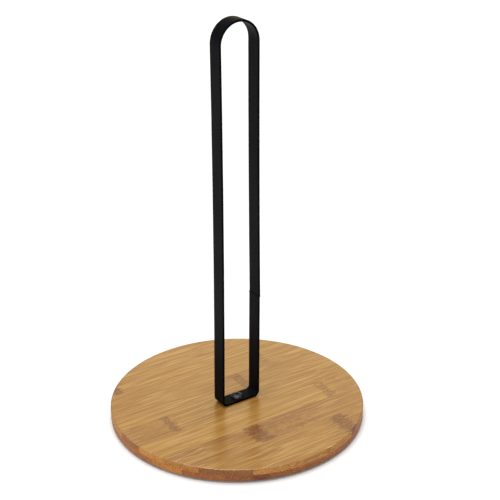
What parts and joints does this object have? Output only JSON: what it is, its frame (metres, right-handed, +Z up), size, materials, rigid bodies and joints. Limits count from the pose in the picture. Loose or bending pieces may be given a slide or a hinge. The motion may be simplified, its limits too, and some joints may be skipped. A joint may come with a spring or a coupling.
{
  "type": "paper towel holder",
  "caption": "Free-standing paper towel holder: a round two-ply bamboo board with a tall closed loop of black flat steel screwed to its middle.",
  "frame": {"origin": "middle of the holder, level with the underside of the anti-slip pads", "axes": "+Z up along the loop, +X along the bamboo's grain and in the plane of the loop, +Y across the grain"},
  "size_m": [0.2, 0.2, 0.3185],
  "materials": {
    "bamboo_top": "satin lacquer over caramel bamboo",
    "bamboo_bottom": "satin lacquer over caramel bamboo",
    "black_steel": "fine satin black powder coat",
    "screw_steel": "black-oxide steel, satin",
    "zinc_steel": "zinc plated",
    "pad_rubber": "matt"
  },
  "bodies": {
    "base": {"base_bottom_strip_1": "bamboo_bottom", "base_bottom_strip_2": "bamboo_bottom", "base_bottom_strip_3": "bamboo_bottom", "base_bottom_strip_4": "bamboo_bottom", "base_bottom_strip_5": "bamboo_bottom", "base_bottom_strip_6": "bamboo_bottom", "base_bottom_strip_7": "bamboo_bottom", "base_bottom_strip_8": "bamboo_bottom", "base_bottom_strip_9": "bamboo_bottom", "base_top_strip_1": "bamboo_top", "base_top_strip_2": "bamboo_top", "base_top_strip_3": "bamboo_top", "base_top_strip_4": "bamboo_top", "base_top_strip_5": "bamboo_top", "base_top_strip_6": "bamboo_top", "base_top_strip_7": "bamboo_top", "base_top_strip_8": "bamboo_top", "base_top_strip_9": "bamboo_top", "foot_pad_1": "pad_rubber", "foot_pad_2": "pad_rubber", "foot_pad_3": "pad_rubber", "foot_pad_4": "pad_rubber", "screw": "screw_steel", "t_nut": "zinc_steel"},
    "loop": {"loop_strip": "black_steel", "weld_seam": "black_steel"}
  },
  "joints": [
    {"name": "loop_swivel", "type": "hinge", "parent": "base", "child": "loop", "pos_m": [0, 0, 0.0115], "axis": [0, 0, 1], "continuous": true}
  ]
}
